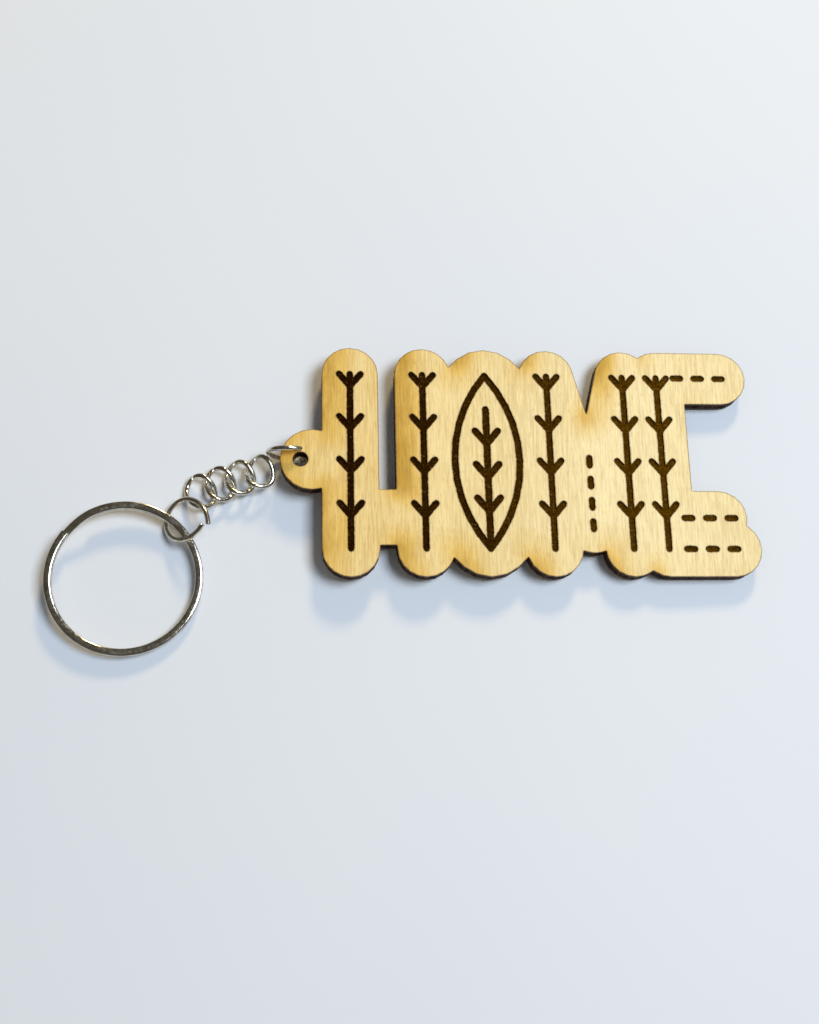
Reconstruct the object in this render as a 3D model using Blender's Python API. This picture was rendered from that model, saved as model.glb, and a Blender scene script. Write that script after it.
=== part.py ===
"""A wooden souvenir keychain: engraved plywood tag, curb chain, jump rings and a split key ring.

Frame: the origin is the centre of the tag's back face. +X runs along the tag, away from the
chain, +Y runs up the tag's fingers, and +Z points out of the engraved face.
"""
import math

import bmesh
import bpy
from mathutils import Euler, Matrix, Vector

MM = 0.001
WELD = 0.001 * MM

# Tag outline: every finger and arm is a straight line on the face, grown by one reach.
LINE_WIDTH = 1.3 * MM
BORDER = 5.0 * MM
REACH = LINE_WIDTH / 2 + BORDER
LINE_TOP = 18.1 * MM
LEFT_FINGERS_X = (-38.1 * MM, -23.5 * MM)
LOW_ARM_Y = -11.75 * MM
OVAL_X = -10.85 * MM
OVAL_HALF_WIDTH = 6.55 * MM
NOTCH_FINGERS_X = (1.9 * MM, 17.65 * MM)
VALLEY_X = 9.8 * MM
VALLEY_Y = -13.3 * MM
SPINE_X = 24.75 * MM
LONG_ARM_X = 38.0 * MM
SHORT_ARM_X = 35.6 * MM
EYE_TAB_X = -45.7 * MM
EYE_TAB_RADIUS = 6.25 * MM
EYE_X = -47.9 * MM
EYE_RADIUS = 1.5 * MM
END_SEGMENTS = 10
OVAL_SEGMENTS = 44
EYE_SEGMENTS = 24

# Tag thickness: three plies of birch, cut together.
VENEER = 0.8 * MM
CORE = 1.4 * MM
TAG_THICKNESS = 2 * VENEER + CORE
SHEET_LENGTH = 120 * MM
SHEET_HEIGHT = 60 * MM

# Engraving: plain sprigs, one pointed leaf and a few seeds, all of one line width.
ENGRAVE_DEPTH = 0.35 * MM
ENGRAVE_END_SEGMENTS = 4
SPRIG_LEAF = 3.4 * MM
SPRIG_LEAF_ANGLE = math.radians(40)
SPRIG_LEAF_STEP = 9.0 * MM
LEAF_ARC_SEGMENTS = 10
LEAF_MIDRIB_SHARE = 0.6
LEAF_VEIN = 3.6 * MM
LEAF_VEIN_STEP = 7.0 * MM
SEED_LENGTH = 1.6 * MM
SEED_STEP = 4.4 * MM
VALLEY_SEEDS = 4
ARM_SEEDS = 3

# Chain: four twisted links of one wire, each heading on from the one before.
WIRE = 1.0 * MM
LINK_PITCH = 4.05 * MM
LINK_HALF_LENGTH = 2.7 * MM
LINK_HALF_WIDTH = 3.3 * MM
LINK_TWIST = 0.9 * MM
LINK_SEGMENTS = 36
LINK_SEAM = math.radians(3)
LINK_NAMES = ("chain_link_4", "chain_link_3", "chain_link_2", "chain_link_1")
LINK_HEADINGS = (193, 197, 200, 205)
LINK_SLOPES = (12, 8, 1, 2)
LINK_ROLLS = (13, 6, 0, 0)
FIRST_LINK_CENTRE = Vector((-56.05, -1.75, -0.2)) * MM

# Jump rings: each is sprung a little open, its two ends bent out by their own amounts.
RING_SEGMENTS = 40
SPRUNG_SHARE = 0.25
TAB_RING_RADIUS = 3.45 * MM
TAB_RING_CENTRE = Vector((-50.8, 1.45, 1.6)) * MM
TAB_RING_TURN = (98, 0, -5)
TAB_RING_GAP = 27
TAB_RING_GAP_MIDDLE = 26
TAB_RING_SPRUNG_OUT = (0.4 * MM, 0.0)
TAB_RING_SPRUNG_ASIDE = 1.8 * MM
END_RING_RADIUS = 4.15 * MM
END_RING_CENTRE = Vector((-70.5, -11.56, 0.15)) * MM
END_RING_TURN = (0, -33.8, 0)
END_RING_GAP = 3
END_RING_GAP_MIDDLE = -18.7
END_RING_SPRUNG_OUT = (1.54 * MM, 1.46 * MM)
END_RING_SPRUNG_ASIDE = 1.6 * MM

# Split ring: two turns of flattened wire that cross over once.
KEY_RING_RADIUS = 14.25 * MM
KEY_RING_CENTRE = Vector((-81.5, -23.05, -0.9)) * MM
KEY_RING_LEAN = 4
KEY_RING_LEAN_HEADING = 297
KEY_RING_END_HEADING = 142
KEY_RING_HUNG_HEADING = 45
KEY_WIRE_WIDTH = 1.5 * MM
KEY_WIRE_HEIGHT = 0.9 * MM
KEY_TURN_GAP = 0.06 * MM
KEY_CROSSOVER = math.radians(26)
KEY_SEGMENTS = 128
KEY_SECTION_POINTS = 8

# Hinge points, where one piece hangs on the next.
TAB_RING_PIVOT = Vector((EYE_X, 0, TAG_THICKNESS / 2))
FIRST_LINK_PIVOT = Vector((-54.4, 1.4, 0.7)) * MM
END_RING_PIVOT = Vector((-69.4, -7.9, -0.2)) * MM

METAL = (0.72, 0.66, 0.54)
FACE_WOOD = (0.88, 0.70, 0.38)
CORE_WOOD = (0.16, 0.08, 0.03)
BACK_WOOD = (0.80, 0.62, 0.33)


def clear_objects():
    """Remove whatever the open file holds."""
    for obj in list(bpy.data.objects):
        bpy.data.objects.remove(obj, do_unlink=True)


def new_collection(name):
    """Add a collection to the scene."""
    collection = bpy.data.collections.new(name)
    bpy.context.scene.collection.children.link(collection)
    return collection


def new_material(name, colour, roughness, metallic):
    """Make a plain Principled material."""
    material = bpy.data.materials.new(name)
    material.use_nodes = True
    shader = material.node_tree.nodes["Principled BSDF"]
    shader.inputs["Base Color"].default_value = (*colour, 1.0)
    shader.inputs["Roughness"].default_value = roughness
    shader.inputs["Metallic"].default_value = metallic
    material.diffuse_color = (*colour, 1.0)
    return material


def make_guide(obj):
    """Mark an object as a cutter, which is not part of the keychain."""
    obj.hide_render = True
    obj.display_type = "WIRE"


def ribbon(points, half_width, end_segments):
    """Outline of a line of one width with round ends, anticlockwise around the line."""
    spots = [Vector(point) for point in points]
    count = len(spots)
    steps = [(spots[i + 1] - spots[i]).normalized() for i in range(count - 1)]
    headings = [steps[0]]
    headings += [(steps[i] + steps[i + 1]).normalized() for i in range(count - 2)]
    headings += [steps[-1]]
    right = [Vector((heading.y, -heading.x)) * half_width for heading in headings]
    outline = [spots[i] + right[i] for i in range(count - 1)]
    outline += round_end(spots[-1], right[-1], end_segments)
    outline += [spots[i] - right[i] for i in range(count - 2, 0, -1)]
    outline += round_end(spots[0], -right[0], end_segments)
    return outline[:-1]


def round_end(centre, start, segments):
    """Half a circle around centre, turning anticlockwise from start."""
    turns = [Matrix.Rotation(math.pi * i / segments, 2) for i in range(segments + 1)]
    return [centre + turn @ start for turn in turns]


def grown_ellipse(centre_x, half_width, half_height, reach, segments):
    """Outline of an ellipse grown by a fixed reach along its normals."""
    outline = []
    for i in range(segments):
        angle = 2 * math.pi * i / segments
        spot = Vector((half_width * math.cos(angle), half_height * math.sin(angle)))
        normal = Vector((half_height * math.cos(angle), half_width * math.sin(angle)))
        outline.append(spot + normal.normalized() * reach + Vector((centre_x, 0)))
    return outline


def prism(name, outline, bottom, top, collection):
    """Closed flat outline, filled and raised from bottom to top, as a mesh object."""
    curve = bpy.data.curves.new(name, "CURVE")
    curve.dimensions = "2D"
    curve.fill_mode = "BOTH"
    curve.extrude = (top - bottom) / 2
    spline = curve.splines.new("POLY")
    spline.points.add(len(outline) - 1)
    for point, spot in zip(spline.points, outline):
        point.co = (spot.x, spot.y, 0, 1)
    spline.use_cyclic_u = True
    flat = bpy.data.objects.new(name + "_curve", curve)
    flat.location.z = (top + bottom) / 2
    collection.objects.link(flat)
    bpy.context.view_layer.update()
    graph = bpy.context.evaluated_depsgraph_get()
    mesh = bpy.data.meshes.new_from_object(flat.evaluated_get(graph))
    shell = bmesh.new()
    shell.from_mesh(mesh)
    bmesh.ops.remove_doubles(shell, verts=shell.verts, dist=WELD)
    bmesh.ops.recalc_face_normals(shell, faces=shell.faces)
    shell.to_mesh(mesh)
    shell.free()
    solid = bpy.data.objects.new(name, mesh)
    solid.matrix_world = flat.matrix_world
    collection.objects.link(solid)
    bpy.data.objects.remove(flat, do_unlink=True)
    make_guide(solid)
    return solid


def boolean(obj, operation, cutter=None, cutters=None):
    """Add an exact Boolean with one cutter or with a collection of them."""
    modifier = obj.modifiers.new(operation.lower(), "BOOLEAN")
    modifier.operation = operation
    modifier.solver = "EXACT"
    if cutters is None:
        modifier.object = cutter
    else:
        modifier.operand_type = "COLLECTION"
        modifier.collection = cutters
    return modifier


def tag_lines():
    """The straight lines that the tag's outline grows from."""
    left, bridge = LEFT_FINGERS_X
    near, far = NOTCH_FINGERS_X
    valley = (VALLEY_X, VALLEY_Y)
    return (
        ((left, -LINE_TOP), (left, LINE_TOP)),
        ((bridge, -LINE_TOP), (bridge, LINE_TOP)),
        ((left, LOW_ARM_Y), (bridge, LOW_ARM_Y)),
        ((near, -LINE_TOP), (near, LINE_TOP)),
        ((near, LINE_TOP), valley),
        (valley, (far, LINE_TOP)),
        ((far, -LINE_TOP), (far, LINE_TOP)),
        ((SPINE_X, -LINE_TOP), (SPINE_X, LINE_TOP)),
        ((SPINE_X, LINE_TOP), (LONG_ARM_X, LINE_TOP)),
        ((SPINE_X, LOW_ARM_Y), (SHORT_ARM_X, LOW_ARM_Y)),
        ((SPINE_X, -LINE_TOP), (LONG_ARM_X, -LINE_TOP)),
    )


def tag_blank(guides, lobes):
    """The tag's outline as one tall prism: the lobes, joined to the round eye tab."""
    below = -TAG_THICKNESS
    above = 2 * TAG_THICKNESS
    for i, line in enumerate(tag_lines()):
        prism(f"lobe_{i + 1}", ribbon(line, REACH, END_SEGMENTS), below, above, lobes)
    oval = grown_ellipse(OVAL_X, OVAL_HALF_WIDTH, LINE_TOP, REACH, OVAL_SEGMENTS)
    prism("lobe_oval", oval, below, above, lobes)
    tab_radius = Vector((EYE_TAB_RADIUS, 0))
    tab = round_end(Vector((EYE_TAB_X, 0)), tab_radius, END_SEGMENTS)[:-1]
    tab += round_end(Vector((EYE_TAB_X, 0)), -tab_radius, END_SEGMENTS)[:-1]
    blank = prism("blank", tab, below, above, guides)
    boolean(blank, "UNION", cutters=lobes)
    return blank


def sprig(x, bottom, top):
    """An upright stem with pairs of short leaves, as a list of lines."""
    lines = [((x, bottom), (x, top))]
    reach_x = SPRIG_LEAF * math.sin(SPRIG_LEAF_ANGLE)
    reach_y = SPRIG_LEAF * math.cos(SPRIG_LEAF_ANGLE)
    pairs = int((top - bottom) / SPRIG_LEAF_STEP)
    for i in range(pairs):
        foot = top - reach_y - i * SPRIG_LEAF_STEP
        for side in (-1, 1):
            lines.append(((x, foot), (x + side * reach_x, foot + reach_y)))
    return lines


def pointed_leaf(x, half_width, half_height):
    """A leaf of two arcs with a midrib and veins, as a list of lines."""
    radius = (half_width ** 2 + half_height ** 2) / (2 * half_width)
    sweep = math.asin(half_height / radius)
    lines = []
    for side in (-1, 1):
        arc = []
        for i in range(LEAF_ARC_SEGMENTS + 1):
            angle = sweep * (2 * i / LEAF_ARC_SEGMENTS - 1)
            out = radius * math.cos(angle) - (radius - half_width)
            arc.append((x + side * out, radius * math.sin(angle)))
        lines.append(arc)
    lines.append(((x, -half_height), (x, half_height * LEAF_MIDRIB_SHARE)))
    for i in range(-1, 2):
        foot = i * LEAF_VEIN_STEP - LEAF_VEIN_STEP / 2
        tip = foot + LEAF_VEIN * math.cos(SPRIG_LEAF_ANGLE)
        out = LEAF_VEIN * math.sin(SPRIG_LEAF_ANGLE)
        for side in (-1, 1):
            lines.append(((x, foot), (x + side * out, tip)))
    return lines


def seeds(start, step, count):
    """A row of short dashes along the row's own direction."""
    heading = Vector(step).normalized() * (SEED_LENGTH / 2)
    lines = []
    for i in range(count):
        centre = Vector(start) + Vector(step) * i
        lines.append((centre - heading, centre + heading))
    return lines


def engraving_lines():
    """Every line of the engraved pattern."""
    lines = []
    for x in LEFT_FINGERS_X + NOTCH_FINGERS_X + (SPINE_X,):
        lines += sprig(x, -LINE_TOP, LINE_TOP)
    lines += pointed_leaf(OVAL_X, OVAL_HALF_WIDTH, LINE_TOP)
    lines += seeds((VALLEY_X, VALLEY_Y), (0, SEED_STEP), VALLEY_SEEDS)
    for y in (LINE_TOP, LOW_ARM_Y, -LINE_TOP):
        lines += seeds((SPINE_X + SEED_STEP, y), (SEED_STEP, 0), ARM_SEEDS)
    return lines


def engraving(cutters):
    """Cutters for the engraved lines, from the groove floor to above the face."""
    floor = TAG_THICKNESS - ENGRAVE_DEPTH
    for i, line in enumerate(engraving_lines()):
        outline = ribbon(line, LINE_WIDTH / 2, ENGRAVE_END_SEGMENTS)
        prism(f"groove_{i + 1}", outline, floor, TAG_THICKNESS + ENGRAVE_DEPTH, cutters)


def eye_cutter(guides):
    """The round hole through the tab."""
    bpy.ops.mesh.primitive_cylinder_add(
        vertices=EYE_SEGMENTS,
        radius=EYE_RADIUS,
        depth=4 * TAG_THICKNESS,
        location=(EYE_X, 0, TAG_THICKNESS / 2),
    )
    cutter = bpy.context.object
    cutter.name = "eye_cutter"
    move_to(cutter, guides)
    make_guide(cutter)
    return cutter


def move_to(obj, collection):
    """Leave an object in one collection only."""
    for old in list(obj.users_collection):
        old.objects.unlink(obj)
    collection.objects.link(obj)


def ply(name, bottom, thickness, blank, eye, material, parts):
    """One sheet of the plywood, cut to the tag's outline with its eye."""
    bpy.ops.mesh.primitive_cube_add(size=1, location=(0, 0, bottom + thickness / 2))
    sheet = bpy.context.object
    sheet.name = name
    sheet.scale = (SHEET_LENGTH, SHEET_HEIGHT, thickness)
    bpy.ops.object.transform_apply(location=False, rotation=False, scale=True)
    move_to(sheet, parts)
    sheet.data.materials.append(material)
    boolean(sheet, "INTERSECT", cutter=blank)
    boolean(sheet, "DIFFERENCE", cutter=eye)
    return sheet


def wire_piece(name, points, centre, turn, pivot, material, parts):
    """A bent wire, shaped about centre and turned, with its origin on the pivot."""
    shift = turn.inverted() @ (pivot - centre)
    curve = bpy.data.curves.new(name, "CURVE")
    curve.dimensions = "3D"
    curve.bevel_depth = WIRE / 2
    curve.bevel_resolution = 2
    curve.use_fill_caps = True
    add_path(curve, [point - shift for point in points])
    return place_curve(curve, name, turn, pivot, material, parts)


def add_path(curve, points):
    """Give a curve one open poly spline."""
    spline = curve.splines.new("POLY")
    spline.points.add(len(points) - 1)
    for point, spot in zip(spline.points, points):
        point.co = (*spot, 1)


def place_curve(curve, name, turn, pivot, material, parts):
    """Link a curve as an object at its pivot."""
    obj = bpy.data.objects.new(name, curve)
    obj.location = pivot
    obj.rotation_euler = turn.to_euler()
    curve.materials.append(material)
    parts.objects.link(obj)
    return obj


def link_points():
    """Centreline of one curb link: an oval whose two sides twist opposite ways."""
    points = []
    for i in range(LINK_SEGMENTS + 1):
        angle = -math.pi / 2 + LINK_SEAM + (2 * math.pi - 2 * LINK_SEAM) * i / LINK_SEGMENTS
        points.append(Vector((
            LINK_HALF_LENGTH * math.cos(angle),
            LINK_HALF_WIDTH * math.sin(angle),
            LINK_TWIST * math.sin(2 * angle),
        )))
    return points


def jump_ring_points(radius, gap_middle, gap, sprung_out, sprung_aside):
    """Centreline of an open ring in its XY plane, its ends sprung out and apart."""
    first_out, last_out = sprung_out
    points = []
    for i in range(RING_SEGMENTS + 1):
        share = i / RING_SEGMENTS
        angle = gap_middle + gap / 2 + (2 * math.pi - gap) * share
        out = radius + first_out * max(0.0, 1 - share / SPRUNG_SHARE) ** 2
        out += last_out * max(0.0, 1 - (1 - share) / SPRUNG_SHARE) ** 2
        points.append(Vector((out * math.cos(angle), out * math.sin(angle), 0)))
        points[-1].z = sprung_aside * (share - 0.5)
    return points


def split_ring_points(radius, lift):
    """Centreline of two flat turns, upper then lower, joined by one short crossover."""
    turn = 2 * math.pi
    sweep = 2 * turn - KEY_CROSSOVER
    points = []
    for i in range(KEY_SEGMENTS + 1):
        angle = sweep * i / KEY_SEGMENTS
        share = (angle - (turn - KEY_CROSSOVER)) / KEY_CROSSOVER
        share = min(1.0, max(0.0, share))
        eased = share * share * (3 - 2 * share)
        points.append(Vector((
            radius * math.cos(angle),
            radius * math.sin(angle),
            lift * (0.5 - eased),
        )))
    return points


def turned(roll, slope, heading):
    """Rotation matrix: roll about X, then slope about Y, then heading about Z, in degrees."""
    return Euler((math.radians(roll), math.radians(slope), math.radians(heading))).to_matrix()


def add_tag(guides, parts):
    """The three plies of the tag, the top one engraved."""
    lobes = new_collection("tag_lobes")
    grooves = new_collection("engraving_grooves")
    engraving(grooves)
    eye = eye_cutter(guides)
    blank = tag_blank(guides, lobes)
    back_wood = new_material("back_wood", BACK_WOOD, 0.6, 0.0)
    core_wood = new_material("core_wood", CORE_WOOD, 0.7, 0.0)
    face_wood = new_material("face_wood", FACE_WOOD, 0.55, 0.0)
    ply("back_veneer", 0.0, VENEER, blank, eye, back_wood, parts)
    ply("core_ply", VENEER, CORE, blank, eye, core_wood, parts)
    face = ply("face_veneer", VENEER + CORE, VENEER, blank, eye, face_wood, parts)
    boolean(face, "DIFFERENCE", cutters=grooves)


def add_tab_ring(parts):
    """The jump ring that runs through the tag's eye and round the edge of its tab."""
    points = jump_ring_points(
        TAB_RING_RADIUS,
        math.radians(TAB_RING_GAP_MIDDLE),
        math.radians(TAB_RING_GAP),
        TAB_RING_SPRUNG_OUT,
        TAB_RING_SPRUNG_ASIDE,
    )
    plating = new_material("tab_ring_plating", METAL, 0.22, 1.0)
    turn = turned(*TAB_RING_TURN)
    wire_piece("tab_ring", points, TAB_RING_CENTRE, turn, TAB_RING_PIVOT, plating, parts)


def add_chain(parts):
    """Four curb links, each hung where its near end meets the link before."""
    plating = new_material("chain_plating", METAL, 0.22, 1.0)
    centre = FIRST_LINK_CENTRE
    pivot = FIRST_LINK_PIVOT
    places = zip(LINK_NAMES, LINK_ROLLS, LINK_SLOPES, LINK_HEADINGS)
    half_pitch = Vector((LINK_PITCH / 2, 0, 0))
    for i, (name, roll, slope, heading) in enumerate(places):
        turn = turned(roll, slope, heading)
        if i > 0:
            centre = pivot + turn @ half_pitch
        wire_piece(name, link_points(), centre, turn, pivot, plating, parts)
        pivot = centre + turn @ half_pitch


def add_end_ring(parts):
    """The open jump ring that joins the last link to the key ring."""
    points = jump_ring_points(
        END_RING_RADIUS,
        math.radians(END_RING_GAP_MIDDLE),
        math.radians(END_RING_GAP),
        END_RING_SPRUNG_OUT,
        END_RING_SPRUNG_ASIDE,
    )
    plating = new_material("end_ring_plating", METAL, 0.22, 1.0)
    turn = turned(*END_RING_TURN)
    wire_piece("end_ring", points, END_RING_CENTRE, turn, END_RING_PIVOT, plating, parts)


def key_wire_section(guides):
    """Closed cross-section of the flattened key ring wire, as a guide curve."""
    curve = bpy.data.curves.new("key_wire_section", "CURVE")
    curve.dimensions = "2D"
    spline = curve.splines.new("POLY")
    spline.points.add(KEY_SECTION_POINTS - 1)
    for i, point in enumerate(spline.points):
        angle = -2 * math.pi * (i + 0.5) / KEY_SECTION_POINTS
        across = math.copysign(math.sqrt(abs(math.cos(angle))), math.cos(angle))
        up = math.copysign(math.sqrt(abs(math.sin(angle))), math.sin(angle))
        point.co = (across * KEY_WIRE_WIDTH / 2, up * KEY_WIRE_HEIGHT / 2, 0, 1)
    spline.use_cyclic_u = True
    section = bpy.data.objects.new("key_wire_section", curve)
    guides.objects.link(section)
    make_guide(section)
    return section


def add_key_ring(guides, parts):
    """The split ring, with its origin on the stretch of wire that the end ring holds."""
    lean_heading = math.radians(KEY_RING_LEAN_HEADING)
    lean_axis = Vector((-math.sin(lean_heading), math.cos(lean_heading), 0))
    lean = Matrix.Rotation(math.radians(KEY_RING_LEAN), 3, lean_axis)
    turn = lean @ turned(0, 0, KEY_RING_END_HEADING)
    hung = math.radians(KEY_RING_HUNG_HEADING)
    spoke = Vector((math.cos(hung), math.sin(hung), 0)) * KEY_RING_RADIUS
    pivot = KEY_RING_CENTRE + lean @ spoke
    shift = turn.inverted() @ (pivot - KEY_RING_CENTRE)
    curve = bpy.data.curves.new("key_ring", "CURVE")
    curve.dimensions = "3D"
    curve.twist_mode = "Z_UP"
    curve.bevel_mode = "OBJECT"
    curve.bevel_object = key_wire_section(guides)
    curve.use_fill_caps = True
    path = split_ring_points(KEY_RING_RADIUS, KEY_WIRE_HEIGHT + KEY_TURN_GAP)
    add_path(curve, [point - shift for point in path])
    plating = new_material("key_ring_plating", METAL, 0.2, 1.0)
    place_curve(curve, "key_ring", turn, pivot, plating, parts)


def main():
    """Build the whole keychain."""
    clear_objects()
    parts = new_collection("keychain")
    guides = new_collection("cutters_and_guides")
    add_tag(guides, parts)
    add_tab_ring(parts)
    add_chain(parts)
    add_end_ring(parts)
    add_key_ring(guides, parts)


main()
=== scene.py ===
"""Looks for the wooden souvenir keychain: laser-cut birch tag, plated chain, rings and split ring.

The tag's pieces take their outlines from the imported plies. The wires follow the same bends as
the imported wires, in metres and in the same frame.
"""
import math

import bmesh
import bpy
from mathutils import Euler, Matrix, Vector, kdtree, noise


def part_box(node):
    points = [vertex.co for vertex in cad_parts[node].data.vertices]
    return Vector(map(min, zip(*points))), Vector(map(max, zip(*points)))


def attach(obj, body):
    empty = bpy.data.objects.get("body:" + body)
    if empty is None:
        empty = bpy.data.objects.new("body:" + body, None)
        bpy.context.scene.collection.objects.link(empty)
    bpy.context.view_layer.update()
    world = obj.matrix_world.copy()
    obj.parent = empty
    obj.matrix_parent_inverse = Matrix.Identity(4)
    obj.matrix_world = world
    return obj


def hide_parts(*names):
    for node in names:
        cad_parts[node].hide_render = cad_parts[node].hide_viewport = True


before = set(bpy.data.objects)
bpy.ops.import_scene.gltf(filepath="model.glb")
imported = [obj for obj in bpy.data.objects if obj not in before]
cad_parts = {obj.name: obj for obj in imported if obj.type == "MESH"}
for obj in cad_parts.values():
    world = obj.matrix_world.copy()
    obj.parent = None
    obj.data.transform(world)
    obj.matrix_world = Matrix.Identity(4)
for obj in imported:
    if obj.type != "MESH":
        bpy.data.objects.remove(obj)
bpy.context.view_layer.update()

MM = 0.001

# Tolerances.
SAME_HEIGHT = 0.01 * MM
SAME_AREA = 0.001 * MM * MM
WELD = 0.0005 * MM

# Laser-cut edges: a fine ripple down every wall, and a rougher one round the engraving.
OUTLINE_STEP = 0.25 * MM
RIPPLE = 0.035 * MM
GROOVE_STEP = 0.16 * MM
GROOVE_RIPPLE = 0.075 * MM
FINE_RIPPLE_SHARE = 0.6
RIPPLE_OFFSET = -0.4
CORNER_SPAN = 4
CORNER_COSINE = 0.3
STRAIGHT_COSINE = 0.7
EDGE_ROUND = 0.06 * MM
EDGE_SEGMENTS = 2
CORE_INSET = 0.03 * MM
FACE_CELL = 0.9 * MM
FLOOR_PITS = 0.05 * MM
TAG_SHARP_ANGLE = 30

# Mesh noise: waves per metre along X and Y, and a layer of its own for each use.
RIPPLE_NOISE = (2600, 2600, 0.5)
FINE_RIPPLE_NOISE = (7100, 7100, 3.5)
FLOOR_NOISE = (3000, 3000, 1.5)
STAIN_NOISE = (180, 110, 7.0)

# Smoke stains on the face, mostly off left-hand edges, and a haze over the tag's left half.
STAIN_SEARCH = 6.0 * MM
STAIN_BLUR = 0.8 * MM
STAIN_REACH = 3.4 * MM
STAIN_FADE_POWER = 1.4
STAIN_ALL_ROUND = 0.03
STAIN_OFF_LEFT = 1.5
STAIN_OFF_BOTTOM = 0.05
STAIN_MEAN = 0.8
STAIN_PATCHES = 0.7
FIRST_SLOT_X = -40.0 * MM
STAIN_BEFORE_SLOT = 0.6
HAZE = 0.27
HAZE_END_X = 10.0 * MM
HAZE_SPAN = 45.0 * MM

# Shader settings.
SCORCH_REACH = 0.6 * MM
BEVEL_SAMPLES = 8
DEEP_ENGRAVING_X = -45.0 * MM
LIGHT_ENGRAVING_X = 38.0 * MM
TARNISH_SHADE = 0.62
WEAR_ROUGHNESS = 0.16

# Wires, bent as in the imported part. Turns are roll, slope and heading in degrees.
WIRE = 1.0 * MM
WIRE_RESOLUTION = 8
WIRE_SHARP_ANGLE = 40
CHAMFER = 0.08 * MM
TIP_RADIUS = 1 - 2 * CHAMFER / WIRE
LINK_PITCH = 4.05 * MM
LINK_HALF_LENGTH = 2.7 * MM
LINK_HALF_WIDTH = 3.3 * MM
LINK_TWIST = 0.9 * MM
LINK_SEGMENTS = 108
LINK_SEAM = math.radians(3)
LINKS = (
    ("chain_link_4", "link_4", (13, 12, 193)),
    ("chain_link_3", "link_3", (6, 8, 197)),
    ("chain_link_2", "link_2", (0, 1, 200)),
    ("chain_link_1", "link_1", (0, 2, 205)),
)
FIRST_LINK_CENTRE = Vector((-56.05, -1.75, -0.2)) * MM
FIRST_LINK_PIVOT = Vector((-54.4, 1.4, 0.7)) * MM
RING_SEGMENTS = 140
SPRUNG_SHARE = 0.25
TAB_RING = {
    "radius": 3.45 * MM,
    "gap_middle": math.radians(26),
    "gap": math.radians(27),
    "sprung_out": (0.4 * MM, 0.0),
    "sprung_aside": 1.8 * MM,
}
TAB_RING_CENTRE = Vector((-50.8, 1.45, 1.6)) * MM
TAB_RING_TURN = (98, 0, -5)
END_RING = {
    "radius": 4.15 * MM,
    "gap_middle": math.radians(-18.7),
    "gap": math.radians(3),
    "sprung_out": (1.54 * MM, 1.46 * MM),
    "sprung_aside": 1.6 * MM,
}
END_RING_CENTRE = Vector((-70.5, -11.56, 0.15)) * MM
END_RING_TURN = (0, -33.8, 0)
KEY_RING_RADIUS = 14.25 * MM
KEY_RING_CENTRE = Vector((-81.5, -23.05, -0.9)) * MM
KEY_RING_LEAN = math.radians(4)
KEY_RING_LEAN_HEADING = math.radians(297)
KEY_RING_END_HEADING = math.radians(142)
KEY_WIRE_WIDTH = 1.5 * MM
KEY_WIRE_HEIGHT = 0.9 * MM
KEY_TURN_GAP = 0.06 * MM
KEY_CROSSOVER = math.radians(26)
KEY_SEGMENTS = 420
KEY_SECTION_POINTS = 28
KEY_SECTION_POWER = 0.62

# Linear colours.
FACE_PALE = (0.79, 0.665, 0.365)
FACE_TAN = (0.64, 0.50, 0.235)
BACK_PALE = (0.75, 0.62, 0.34)
BACK_TAN = (0.60, 0.46, 0.22)
PORE = (0.52, 0.32, 0.12)
SCORCH = (0.10, 0.042, 0.012)
PLATING = (0.74, 0.69, 0.59)
BRIGHT_PLATING = (0.76, 0.71, 0.62)
ROOM = (0.22, 0.22, 0.22)
ROOM_IN_METAL = (0.085, 0.078, 0.060)

# Table top: the tab ring props the tag's left end up, so the table slopes under it.
TABLE_SLOPE = 0.0254
TABLE_TOUCH_X = 43.7 * MM
TABLE_DROP = 0.15 * MM
TABLE_SIZE = 3.0

# Lamps: a broad cool key high on the right, and a small warm one low beyond the tag.
LAMP_TARGET = Vector((-0.02, 0.0, 0.0))
KEY_LAMP = {
    "place": Vector((0.5, 0.05, 1.1)),
    "size": 0.5,
    "power": 15.4,
    "colour": (0.80, 0.89, 1.0),
}
LOW_LAMP = {
    "place": Vector((0.21, 1.07, 0.65)),
    "size": 0.2,
    "power": 9.3,
    "colour": (1.0, 0.74, 0.37),
}

# Camera: a phone held nearly overhead.
CAMERA_PLACE = Vector((-48.34, -76.25, 231.16)) * MM
CAMERA_RIGHT = Vector((0.99585, -0.02127, 0.08853))
CAMERA_UP = Vector((-0.00398, 0.96125, 0.27564))
SENSOR = 36.0
LENS = 42.9
CLIP_NEAR = 0.01
CLIP_FAR = 20.0


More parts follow.
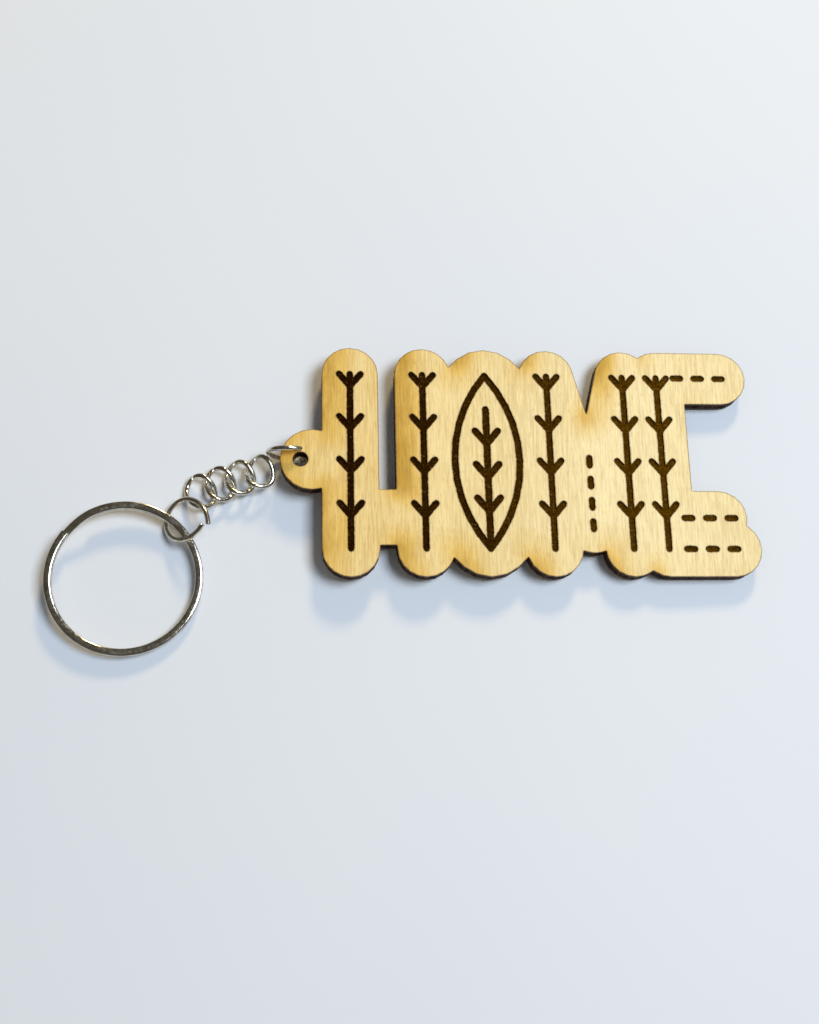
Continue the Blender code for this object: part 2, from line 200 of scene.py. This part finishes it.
class Nodes:
    """Adds and links the shader nodes of one material or world."""

    def __init__(self, owner):
        owner.use_nodes = True
        self.tree = owner.node_tree

    def add(self, kind, **settings):
        """One new node with its settings."""
        node = self.tree.nodes.new(kind)
        for key, value in settings.items():
            setattr(node, key, value)
        return node

    def feed(self, socket, value):
        """Give an input another node's output, a colour or a number."""
        if isinstance(value, bpy.types.NodeSocket):
            self.tree.links.new(value, socket)
        elif isinstance(value, tuple):
            socket.default_value = (*value, 1.0)
        else:
            socket.default_value = value

    def place(self):
        """The object's own coordinates."""
        return self.add("ShaderNodeTexCoord").outputs["Object"]

    def axis(self, vector, name):
        """One axis of a vector."""
        parts = self.add("ShaderNodeSeparateXYZ")
        self.feed(parts.inputs["Vector"], vector)
        return parts.outputs[name]

    def stretched_noise(self, scale, stretch=(1.0, 1.0, 1.0), detail=3.0, roughness=0.5):
        """Noise over the object's own coordinates, in waves per metre, stretched by axis."""
        mapping = self.add("ShaderNodeMapping")
        mapping.inputs["Scale"].default_value = stretch
        self.feed(mapping.inputs["Vector"], self.place())
        texture = self.add("ShaderNodeTexNoise")
        self.feed(texture.inputs["Vector"], mapping.outputs["Vector"])
        self.feed(texture.inputs["Scale"], scale)
        self.feed(texture.inputs["Detail"], detail)
        self.feed(texture.inputs["Roughness"], roughness)
        return texture.outputs["Fac"]

    def painted(self, name):
        """A value painted on the mesh's points."""
        return self.add("ShaderNodeAttribute", attribute_name=name).outputs["Fac"]

    def ramp(self, value, *stops):
        """Colour ramp over a value; each stop is a position and a linear colour."""
        node = self.add("ShaderNodeValToRGB")
        elements = node.color_ramp.elements
        while len(elements) < len(stops):
            elements.new(1.0)
        for element, (position, colour) in zip(elements, stops):
            element.position = position
            element.color = (*colour, 1.0)
        self.feed(node.inputs["Fac"], value)
        return node.outputs["Color"]

    def step(self, value, low, high, low_value=0.0, high_value=1.0):
        """Smooth step of a value between two positions."""
        node = self.add("ShaderNodeMapRange", interpolation_type="SMOOTHSTEP")
        self.feed(node.inputs["From Min"], low)
        self.feed(node.inputs["From Max"], high)
        self.feed(node.inputs["To Min"], low_value)
        self.feed(node.inputs["To Max"], high_value)
        self.feed(node.inputs["Value"], value)
        return node.outputs["Result"]

    def mix(self, factor, first, second, mode="MIX"):
        """Blend two colours by a factor."""
        node = self.add("ShaderNodeMix", data_type="RGBA", blend_type=mode)
        sockets = [s for s in node.inputs if s.enabled]
        for socket, value in zip(sockets, (factor, first, second)):
            self.feed(socket, value)
        return [s for s in node.outputs if s.enabled][0]

    def maths(self, operation, first, second):
        """One arithmetic node."""
        node = self.add("ShaderNodeMath", operation=operation)
        for socket, value in zip(node.inputs, (first, second)):
            self.feed(socket, value)
        return node.outputs["Value"]

    def shared(self, first, second, share):
        """The first value by its share, plus the second by the rest."""
        part = self.maths("MULTIPLY", first, share)
        rest = self.maths("MULTIPLY", second, 1.0 - share)
        return self.maths("ADD", part, rest)

    def bump(self, height, strength, distance):
        """The surface's normal, bumped by a height value."""
        node = self.add("ShaderNodeBump")
        self.feed(node.inputs["Strength"], strength)
        self.feed(node.inputs["Distance"], distance)
        self.feed(node.inputs["Height"], height)
        return node.outputs["Normal"]


def new_material(name):
    """A Principled material, its nodes and its shader's inputs."""
    material = bpy.data.materials.new(name)
    nodes = Nodes(material)
    return material, nodes, nodes.tree.nodes["Principled BSDF"].inputs


def birch(name, pale, tan, out_of_face):
    """Sanded birch: grain along Y, pores, smoke stains, a scorched edge and charred walls.

    out_of_face is 1 where the face looks up and -1 where it looks down.
    """
    material, nodes, shader = new_material(name)
    broad = nodes.stretched_noise(scale=130, stretch=(1.0, 0.10, 1.0), detail=2.0)
    grain = nodes.stretched_noise(scale=2600, stretch=(1.0, 0.07, 1.0), detail=2.0, roughness=0.6)
    fleck = nodes.stretched_noise(scale=3000, stretch=(1.0, 0.20, 1.0), detail=1.0, roughness=0.4)
    figure = nodes.shared(broad, grain, share=0.25)
    wood = nodes.ramp(figure, (0.36, tan), (0.60, pale))
    pores = nodes.step(fleck, low=0.56, high=0.76)
    wood = nodes.mix(nodes.maths("MULTIPLY", pores, 0.34), wood, PORE)

    patch = nodes.stretched_noise(scale=260, stretch=(1.0, 0.45, 1.0), roughness=0.6)
    patch = nodes.step(patch, low=0.28, high=0.62, low_value=0.7)
    stain = nodes.ramp(
        nodes.maths("MULTIPLY", nodes.painted("smoke"), patch),
        (0.0, (1.0, 1.0, 1.0)),
        (0.5, (0.86, 0.68, 0.30)),
        (1.0, (0.60, 0.41, 0.08)),
    )
    wood = nodes.mix(1.0, wood, stain, "MULTIPLY")

    bevel = nodes.add("ShaderNodeBevel", samples=BEVEL_SAMPLES)
    nodes.feed(bevel.inputs["Radius"], SCORCH_REACH)
    rounded = nodes.maths("MULTIPLY", nodes.axis(bevel.outputs["Normal"], "Z"), out_of_face)
    scorch = nodes.step(rounded, low=0.82, high=0.998, low_value=0.9, high_value=0.0)
    wood = nodes.mix(scorch, wood, SCORCH)

    normal = nodes.add("ShaderNodeNewGeometry").outputs["True Normal"]
    upright = nodes.maths("MULTIPLY", nodes.axis(normal, "Z"), out_of_face)
    wall = nodes.step(upright, low=0.35, high=0.95, low_value=1.0, high_value=0.0)
    streak = nodes.stretched_noise(scale=1300, stretch=(1.0, 1.0, 0.12), roughness=0.6)
    char = nodes.ramp(
        streak,
        (0.34, (0.016, 0.005, 0.001)),
        (0.56, (0.060, 0.022, 0.005)),
        (0.72, (0.16, 0.066, 0.016)),
    )
    nodes.feed(shader["Base Color"], nodes.mix(wall, wood, char))
    nodes.feed(shader["Roughness"], nodes.step(grain, low=0.3, high=0.7, low_value=0.5, high_value=0.68))
    nodes.feed(shader["Specular IOR Level"], 0.25)
    relief = nodes.maths("SUBTRACT", grain, nodes.maths("MULTIPLY", pores, 0.5))
    nodes.feed(shader["Normal"], nodes.bump(relief, strength=0.35, distance=0.12 * MM))
    return material


def charred():
    """The laser-cut core's walls: dark brown char with lighter streaks down the cut."""
    material, nodes, shader = new_material("charred_core")
    streak = nodes.stretched_noise(scale=1300, stretch=(1.0, 1.0, 0.1), detail=4.0, roughness=0.65)
    char = nodes.ramp(
        streak,
        (0.32, (0.014, 0.005, 0.001)),
        (0.55, (0.052, 0.019, 0.004)),
        (0.74, (0.14, 0.058, 0.014)),
    )
    nodes.feed(shader["Base Color"], char)
    nodes.feed(shader["Roughness"], nodes.step(streak, low=0.3, high=0.7, low_value=0.9, high_value=0.6))
    nodes.feed(shader["Specular IOR Level"], 0.08)
    nodes.feed(shader["Normal"], nodes.bump(streak, strength=0.6, distance=0.15 * MM))
    return material


def engraved():
    """The engraving's floor: burnt, speckled, with fine rows, and browner towards the right."""
    material, nodes, shader = new_material("engraved_floor")
    speck = nodes.stretched_noise(scale=2400, stretch=(1.0, 0.6, 1.0), roughness=0.75)
    rows = nodes.stretched_noise(scale=4200, stretch=(0.08, 1.0, 1.0), detail=1.0)
    level = nodes.shared(speck, rows, share=0.7)
    deep = nodes.ramp(
        level,
        (0.38, (0.008, 0.002, 0.0002)),
        (0.58, (0.018, 0.006, 0.0004)),
        (0.76, (0.16, 0.09, 0.03)),
    )
    light = nodes.ramp(
        level,
        (0.38, (0.035, 0.014, 0.0004)),
        (0.58, (0.085, 0.037, 0.001)),
        (0.76, (0.24, 0.14, 0.03)),
    )
    across = nodes.step(nodes.axis(nodes.place(), "X"), DEEP_ENGRAVING_X, LIGHT_ENGRAVING_X)
    nodes.feed(shader["Base Color"], nodes.mix(across, deep, light))
    nodes.feed(shader["Roughness"], 0.8)
    nodes.feed(shader["Specular IOR Level"], 0.0)
    nodes.feed(shader["Normal"], nodes.bump(level, strength=0.7, distance=0.2 * MM))
    return material


def nickel(name, colour, roughness):
    """Worn nickel plate: a warm mirror with fine scuffs and a little tarnish."""
    material, nodes, shader = new_material(name)
    tarnish = nodes.stretched_noise(scale=420, detail=4.0, roughness=0.65)
    shade = tuple(TARNISH_SHADE * channel for channel in colour)
    scuff = nodes.stretched_noise(scale=1700, roughness=0.7)
    worn = nodes.step(scuff, 0.35, 0.75, roughness, roughness + WEAR_ROUGHNESS)
    nodes.feed(shader["Base Color"], nodes.ramp(tarnish, (0.32, shade), (0.6, colour)))
    nodes.feed(shader["Metallic"], 1.0)
    nodes.feed(shader["Roughness"], worn)
    nodes.feed(shader["Normal"], nodes.bump(scuff, strength=0.10, distance=0.04 * MM))
    return material


def paper():
    """A plain pale table top."""
    material, nodes, shader = new_material("pale_table")
    cloud = nodes.stretched_noise(scale=7)
    pale = nodes.ramp(cloud, (0.3, (0.59, 0.625, 0.67)), (0.7, (0.62, 0.645, 0.68)))
    nodes.feed(shader["Base Color"], pale)
    nodes.feed(shader["Roughness"], 0.75)
    return material


def flat_loops(node, height):
    """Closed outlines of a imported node's flat faces at one height, as lists of 2D points."""
    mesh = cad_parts[node].data
    spots = {}
    keys = []
    for vertex in mesh.vertices:
        key = tuple(round(c / WELD) for c in vertex.co)
        spots[key] = vertex.co.copy()
        keys.append(key)
    edges = {}
    for face in mesh.polygons:
        if all(abs(mesh.vertices[i].co.z - height) < SAME_HEIGHT for i in face.vertices):
            ring = [keys[i] for i in face.vertices]
            for first, second in zip(ring, ring[1:] + ring[:1]):
                if (second, first) in edges:
                    del edges[(second, first)]
                else:
                    edges[(first, second)] = True
    following = {first: second for first, second in edges}
    loops = []
    while following:
        start, spot = following.popitem()
        loop = [spots[start]]
        while spot != start:
            loop.append(spots[spot])
            spot = following.pop(spot)
        loops.append([point.to_2d() for point in loop])
    return loops


def loop_area(loop):
    """Signed area of a closed outline."""
    return sum(a.cross(b) for a, b in zip(loop, loop[1:] + loop[:1])) / 2


def same_loop(loop, others):
    """True if a loop is one of the others, by its area."""
    area = abs(loop_area(loop))
    return any(abs(area - abs(loop_area(other))) < SAME_AREA for other in others)


def side_of(loop):
    """1 if a loop turns anticlockwise, so that its outward side is on its right, or -1."""
    return 1.0 if loop_area(loop) > 0 else -1.0


def wave(spot, settings):
    """Smooth noise from -1 to 1 at a spot on the tag."""
    along_x, along_y, layer = settings
    return noise.noise((spot.x * along_x, spot.y * along_y, layer))


def resampled(loop, step):
    """Points at an even step along a closed outline, and the outline's direction at each."""
    lengths = [(b - a).length for a, b in zip(loop, loop[1:] + loop[:1])]
    count = round(sum(lengths) / step)
    spots = []
    headings = []
    index = 0
    passed = 0.0
    for i in range(count):
        target = sum(lengths) * i / count
        while passed + lengths[index] < target:
            passed += lengths[index]
            index += 1
        first = loop[index]
        second = loop[(index + 1) % len(loop)]
        spots.append(first.lerp(second, (target - passed) / lengths[index]))
        headings.append((second - first).normalized())
    return spots, headings


def rippled(loop, step, ripple, inset=0.0):
    """The outline resampled and rippled along its normals, with its sharp corners left alone."""
    spots, headings = resampled(loop, step)
    side = side_of(loop)
    count = len(spots)
    outline = []
    for i, (spot, along) in enumerate(zip(spots, headings)):
        around = (headings[(i + j) % count] for j in range(-CORNER_SPAN, CORNER_SPAN + 1))
        straight = min(along.dot(other) for other in around)
        share = (straight - CORNER_COSINE) / (STRAIGHT_COSINE - CORNER_COSINE)
        share = min(1.0, max(0.0, share))
        outward = Vector((along.y, -along.x)) * side
        height = wave(spot, RIPPLE_NOISE) + FINE_RIPPLE_SHARE * wave(spot, FINE_RIPPLE_NOISE)
        outline.append(spot + outward * (share * ripple * (height + RIPPLE_OFFSET) - inset))
    return outline


def filled(name, loops, bottom, top, rounding=0.0):
    """Flat outlines with their holes, filled and raised to a closed mesh, edges rounded."""
    curve = bpy.data.curves.new(name, "CURVE")
    curve.dimensions = "2D"
    curve.fill_mode = "BOTH"
    curve.extrude = (top - bottom) / 2 - rounding
    curve.bevel_depth = rounding
    curve.bevel_resolution = EDGE_SEGMENTS
    curve.offset = -rounding
    for loop in loops:
        spline = curve.splines.new("POLY")
        spline.points.add(len(loop) - 1)
        for point, spot in zip(spline.points, loop):
            point.co = (spot.x, spot.y, 0, 1)
        spline.use_cyclic_u = True
    return meshed(curve, name, Matrix.Translation((0, 0, (top + bottom) / 2)))


def meshed(curve, name, place):
    """A curve as a welded mesh object at the origin, its points moved to their place."""
    drawn = bpy.data.objects.new(name + "_curve", curve)
    bpy.context.scene.collection.objects.link(drawn)
    bpy.context.view_layer.update()
    graph = bpy.context.evaluated_depsgraph_get()
    mesh = bpy.data.meshes.new_from_object(drawn.evaluated_get(graph))
    bpy.data.objects.remove(drawn, do_unlink=True)
    mesh.name = name
    mesh.transform(place)
    shell = bmesh.new()
    shell.from_mesh(mesh)
    bmesh.ops.remove_doubles(shell, verts=shell.verts, dist=WELD)
    bmesh.ops.recalc_face_normals(shell, faces=shell.faces)
    shell.to_mesh(mesh)
    shell.free()
    piece = bpy.data.objects.new(name, mesh)
    bpy.context.scene.collection.objects.link(piece)
    return piece


def carve(piece, grooves, floor, top):
    """Cut grooves into the piece from its top down to their floor."""
    cutter = filled("groove_cutter", grooves, floor, 2 * top - floor)
    cut = piece.modifiers.new("engrave", "BOOLEAN")
    cut.operation = "DIFFERENCE"
    cut.solver = "MANIFOLD"
    cut.object = cutter
    bpy.context.view_layer.update()
    graph = bpy.context.evaluated_depsgraph_get()
    carved = bpy.data.meshes.new_from_object(piece.evaluated_get(graph))
    piece.modifiers.clear()
    piece.data = carved
    bpy.data.objects.remove(cutter, do_unlink=True)


def gridded(piece, height):
    """Cut the piece's faces at one height into small cells, whose corners can be painted."""
    shell = bmesh.new()
    shell.from_mesh(piece.data)
    cuts = []
    for axis in (Vector((1, 0, 0)), Vector((0, 1, 0))):
        places = [vertex.co.dot(axis) for vertex in shell.verts]
        low = min(places)
        high = max(places)
        for i in range(1, int((high - low) / FACE_CELL) + 1):
            cuts.append((axis * (low + i * FACE_CELL), axis))
    flat = [f for f in shell.faces if abs(f.calc_center_median().z - height) < SAME_HEIGHT]
    around = set(flat)
    for face in flat:
        around.update(face.edges)
        around.update(face.verts)
    around = list(around)
    for place, axis in cuts:
        around = bmesh.ops.bisect_plane(shell, geom=around, plane_co=place, plane_no=axis)["geom"]
    shell.to_mesh(piece.data)
    shell.free()


def edge_search(loops):
    """Search tree over outline points, with each point's outward direction."""
    points = []
    for loop in loops:
        side = side_of(loop)
        for before, spot, after in zip(loop[-1:] + loop[:-1], loop, loop[1:] + loop[:1]):
            along = (after - before).normalized()
            points.append((spot, Vector((along.y, -along.x)) * side))
    tree = kdtree.KDTree(len(points))
    for i, (spot, _) in enumerate(points):
        tree.insert((spot.x, spot.y, 0), i)
    tree.balance()
    return tree, [outward for _, outward in points]


def stain_at(spot, edges, directions):
    """How stained a spot is by the smoke off the edges near it."""
    left_share = STAIN_OFF_LEFT
    if spot.x <= FIRST_SLOT_X:
        left_share *= STAIN_BEFORE_SLOT
    stain = 0.0
    total = 0.0
    nearest = STAIN_SEARCH
    for _, index, distance in edges.find_range(spot, STAIN_SEARCH):
        share = math.exp(-distance / STAIN_BLUR)
        outward = directions[index]
        smoke = STAIN_ALL_ROUND + left_share * max(0.0, -outward.x)
        smoke += STAIN_OFF_BOTTOM * max(0.0, -outward.y)
        total += share
        stain += share * smoke
        nearest = min(nearest, distance)
    if total == 0:
        return 0.0
    patch = max(0.0, STAIN_MEAN + STAIN_PATCHES * wave(spot, STAIN_NOISE))
    fade = math.exp(-(nearest / STAIN_REACH) ** STAIN_FADE_POWER)
    return stain / total * patch * fade


def paint_smoke(piece, outlines):
    """Paint the smoke: stains off the edges, and a haze that fades towards the right."""
    edges, directions = edge_search(outlines)
    smoke = piece.data.attributes.new("smoke", "FLOAT", "POINT")
    for vertex, painted in zip(piece.data.vertices, smoke.data):
        spot = Vector((vertex.co.x, vertex.co.y, 0))
        haze = HAZE * min(1.0, max(0.0, (HAZE_END_X - spot.x) / HAZE_SPAN))
        painted.value = min(1.0, haze + stain_at(spot, edges, directions))


def roughen_floor(piece, height):
    """Pit the engraving's floor."""
    for vertex in piece.data.vertices:
        if abs(vertex.co.z - height) < SAME_HEIGHT:
            vertex.co.z += FLOOR_PITS * wave(vertex.co, FLOOR_NOISE)


def smooth(piece, angle):
    """Shade smooth, with sharp edges over an angle in degrees."""
    piece.data.shade_smooth()
    piece.data.set_sharp_from_angle(angle=math.radians(angle))


def stand_in(piece, node, body, slot, *materials):
    """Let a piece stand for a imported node."""
    piece.data.materials.clear()
    for material in materials:
        piece.data.materials.append(material)
    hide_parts(node)
    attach(piece, body)


def engraved_veneer(plain, outline):
    """The face ply, with its pattern cut down to a pitted floor."""
    low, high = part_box("face_veneer")
    pattern = [loop for loop in flat_loops("face_veneer", high.z) if not same_loop(loop, plain)]
    grooves = [rippled(loop, GROOVE_STEP, GROOVE_RIPPLE) for loop in pattern]
    heights = (vertex.co.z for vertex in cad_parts["face_veneer"].data.vertices)
    floor = min(z for z in heights if low.z + SAME_HEIGHT < z < high.z - SAME_HEIGHT)
    face = filled("face_veneer_birch", outline, low.z, high.z, EDGE_ROUND)
    carve(face, grooves, floor, high.z)
    gridded(face, high.z)
    roughen_floor(face, floor)
    paint_smoke(face, outline)
    wood = birch("birch_face", FACE_PALE, FACE_TAN, out_of_face=1.0)
    stand_in(face, "face_veneer", "plate", "face_veneer", wood, engraved())
    middle = (floor + high.z) / 2
    for polygon in face.data.polygons:
        on_floor = low.z + SAME_HEIGHT < polygon.center.z < middle and polygon.normal.z > 0.5
        polygon.material_index = 1 if on_floor else 0
    smooth(face, TAG_SHARP_ANGLE)


def core_ply(plain):
    """The core ply, with charred walls."""
    low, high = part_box("core_ply")
    outline = [rippled(loop, OUTLINE_STEP, RIPPLE, CORE_INSET) for loop in plain]
    core = filled("core_ply_birch", outline, low.z, high.z)
    stand_in(core, "core_ply", "plate", "core_ply", charred())
    smooth(core, TAG_SHARP_ANGLE)


def plain_veneer(outline):
    """The back ply, which has no engraving."""
    low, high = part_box("back_veneer")
    back = filled("back_veneer_birch", outline, low.z, high.z, EDGE_ROUND)
    gridded(back, low.z)
    paint_smoke(back, outline)
    wood = birch("birch_back", BACK_PALE, BACK_TAN, out_of_face=-1.0)
    stand_in(back, "back_veneer", "plate", "back_veneer", wood)
    smooth(back, TAG_SHARP_ANGLE)


def tag():
    """The three plies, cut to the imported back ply's outline."""
    low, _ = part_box("back_veneer")
    plain = flat_loops("back_veneer", low.z)
    outline = [rippled(loop, OUTLINE_STEP, RIPPLE) for loop in plain]
    engraved_veneer(plain, outline)
    core_ply(plain)
    plain_veneer(outline)


def turned(roll, slope, heading):
    """Rotation matrix: roll about X, then slope about Y, then heading about Z, in degrees."""
    return Euler((math.radians(roll), math.radians(slope), math.radians(heading))).to_matrix()


def link_points():
    """Centreline of one curb link: an oval whose two sides twist opposite ways."""
    points = []
    for i in range(LINK_SEGMENTS + 1):
        angle = -math.pi / 2 + LINK_SEAM + (2 * math.pi - 2 * LINK_SEAM) * i / LINK_SEGMENTS
        points.append(Vector((
            LINK_HALF_LENGTH * math.cos(angle),
            LINK_HALF_WIDTH * math.sin(angle),
            LINK_TWIST * math.sin(2 * angle),
        )))
    return points


def jump_ring_points(radius, gap_middle, gap, sprung_out, sprung_aside):
    """Centreline of an open ring in its XY plane, its ends sprung out and apart."""
    first_out, last_out = sprung_out
    points = []
    for i in range(RING_SEGMENTS + 1):
        share = i / RING_SEGMENTS
        angle = gap_middle + gap / 2 + (2 * math.pi - gap) * share
        out = radius + first_out * max(0.0, 1 - share / SPRUNG_SHARE) ** 2
        out += last_out * max(0.0, 1 - (1 - share) / SPRUNG_SHARE) ** 2
        lift = sprung_aside * (share - 0.5)
        points.append(Vector((out * math.cos(angle), out * math.sin(angle), lift)))
    return points


def split_ring_points():
    """Centreline of two flat turns, upper then lower, joined by one short crossover."""
    turn = 2 * math.pi
    lift = KEY_WIRE_HEIGHT + KEY_TURN_GAP
    points = []
    for i in range(KEY_SEGMENTS + 1):
        angle = (2 * turn - KEY_CROSSOVER) * i / KEY_SEGMENTS
        share = (angle - (turn - KEY_CROSSOVER)) / KEY_CROSSOVER
        share = min(1.0, max(0.0, share))
        eased = share * share * (3 - 2 * share)
        points.append(Vector((
            KEY_RING_RADIUS * math.cos(angle),
            KEY_RING_RADIUS * math.sin(angle),
            lift * (0.5 - eased),
        )))
    return points


def wire(name, points, centre, turn, section=None):
    """A wire along points, cut square with a small chamfer at both ends."""
    curve = bpy.data.curves.new(name, "CURVE")
    curve.dimensions = "3D"
    curve.use_fill_caps = True
    if section:
        curve.bevel_mode = "OBJECT"
        curve.bevel_object = section
        curve.twist_mode = "Z_UP"
    else:
        curve.bevel_depth = WIRE / 2
        curve.bevel_resolution = WIRE_RESOLUTION
    start = points[0] + (points[1] - points[0]).normalized() * CHAMFER
    end = points[-1] + (points[-2] - points[-1]).normalized() * CHAMFER
    path = [points[0], start] + points[1:-1] + [end, points[-1]]
    spline = curve.splines.new("POLY")
    spline.points.add(len(path) - 1)
    for point, spot in zip(spline.points, path):
        point.co = (*spot, 1)
        point.radius = 1.0
    for tip in (spline.points[0], spline.points[-1]):
        tip.radius = TIP_RADIUS
    piece = meshed(curve, name, Matrix.Translation(centre) @ turn.to_4x4())
    smooth(piece, WIRE_SHARP_ANGLE)
    return piece


def squared(value):
    """A sine or cosine pushed towards its ends, which turns a circle into a rounded square."""
    return math.copysign(abs(value) ** KEY_SECTION_POWER, value)


def key_wire_section():
    """Cross-section of the split ring's flattened wire."""
    curve = bpy.data.curves.new("key_wire_section", "CURVE")
    curve.dimensions = "2D"
    spline = curve.splines.new("POLY")
    spline.points.add(KEY_SECTION_POINTS - 1)
    for i, point in enumerate(spline.points):
        angle = -2 * math.pi * (i + 0.5) / KEY_SECTION_POINTS
        across = squared(math.cos(angle)) * KEY_WIRE_WIDTH / 2
        up = squared(math.sin(angle)) * KEY_WIRE_HEIGHT / 2
        point.co = (across, up, 0, 1)
    spline.use_cyclic_u = True
    section = bpy.data.objects.new("key_wire_section", curve)
    bpy.context.scene.collection.objects.link(section)
    return section


def chain(plating):
    """The four links, each hung from the end of the one before."""
    half_pitch = Vector((LINK_PITCH / 2, 0, 0))
    centre = FIRST_LINK_CENTRE
    pivot = FIRST_LINK_PIVOT
    for i, (node, body, angles) in enumerate(LINKS):
        turn = turned(*angles)
        if i > 0:
            centre = pivot + turn @ half_pitch
        link = wire(node + "_wire", link_points(), centre, turn)
        stand_in(link, node, body, "nickel_wire", plating)
        pivot = centre + turn @ half_pitch


def key_ring():
    """The split ring, which leans on the end ring."""
    lean_axis = Vector((-math.sin(KEY_RING_LEAN_HEADING), math.cos(KEY_RING_LEAN_HEADING), 0))
    lean = Matrix.Rotation(KEY_RING_LEAN, 3, lean_axis)
    turn = lean @ Matrix.Rotation(KEY_RING_END_HEADING, 3, "Z")
    section = key_wire_section()
    ring = wire("key_ring_wire", split_ring_points(), KEY_RING_CENTRE, turn, section)
    bpy.data.objects.remove(section, do_unlink=True)
    bright = nickel("nickel_split_ring", BRIGHT_PLATING, 0.11)
    stand_in(ring, "key_ring", "key_ring", "split_ring_steel", bright)


def metalwork():
    """Every wire piece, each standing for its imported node."""
    plating = nickel("nickel_wire", PLATING, 0.15)
    ring = wire("tab_ring_wire", jump_ring_points(**TAB_RING), TAB_RING_CENTRE, turned(*TAB_RING_TURN))
    stand_in(ring, "tab_ring", "tab_ring", "nickel_wire", plating)
    chain(plating)
    ring = wire("end_ring_wire", jump_ring_points(**END_RING), END_RING_CENTRE, turned(*END_RING_TURN))
    stand_in(ring, "end_ring", "end_ring", "nickel_wire", plating)
    key_ring()


def table():
    """The pale table top the keychain lies on."""
    bpy.ops.mesh.primitive_plane_add(size=TABLE_SIZE)
    top = bpy.context.object
    top.name = "table_top"
    top.rotation_euler.y = -math.atan(TABLE_SLOPE)
    top.location = (0, 0, -TABLE_SLOPE * TABLE_TOUCH_X - TABLE_DROP)
    top.data.materials.append(paper())


def lamp(name, place, size, power, colour):
    """A soft square lamp aimed at the middle of the keychain."""
    light = bpy.data.lights.new(name, "AREA")
    light.shape = "SQUARE"
    light.size = size
    light.energy = power
    light.color = colour
    holder = bpy.data.objects.new(name, light)
    holder.location = place
    holder.rotation_euler = (LAMP_TARGET - place).to_track_quat("-Z", "Y").to_euler()
    bpy.context.scene.collection.objects.link(holder)


def lighting():
    """Two lamps and a dim room, which looks darker still in the metal."""
    lamp("key_light", **KEY_LAMP)
    lamp("low_lamp", **LOW_LAMP)
    world = bpy.data.worlds.new("room")
    nodes = Nodes(world)
    in_metal = nodes.add("ShaderNodeLightPath").outputs["Is Glossy Ray"]
    background = nodes.tree.nodes["Background"].inputs
    nodes.feed(background["Color"], nodes.mix(in_metal, ROOM, ROOM_IN_METAL))
    nodes.feed(background["Strength"], 1.0)
    bpy.context.scene.world = world


def camera():
    """The camera, nearly overhead."""
    data = bpy.data.cameras.new("camera")
    data.sensor_fit = "VERTICAL"
    data.sensor_height = SENSOR
    data.lens = LENS
    data.clip_start = CLIP_NEAR
    data.clip_end = CLIP_FAR
    holder = bpy.data.objects.new("camera", data)
    back = CAMERA_RIGHT.cross(CAMERA_UP)
    turn = Matrix((CAMERA_RIGHT, CAMERA_UP, back)).transposed()
    holder.matrix_world = Matrix.Translation(CAMERA_PLACE) @ turn.to_4x4()
    bpy.context.scene.collection.objects.link(holder)
    bpy.context.scene.camera = holder


tag()
metalwork()
table()
lighting()
camera()
bpy.context.scene.view_settings.view_transform = "Standard"

bpy.context.view_layer.update()
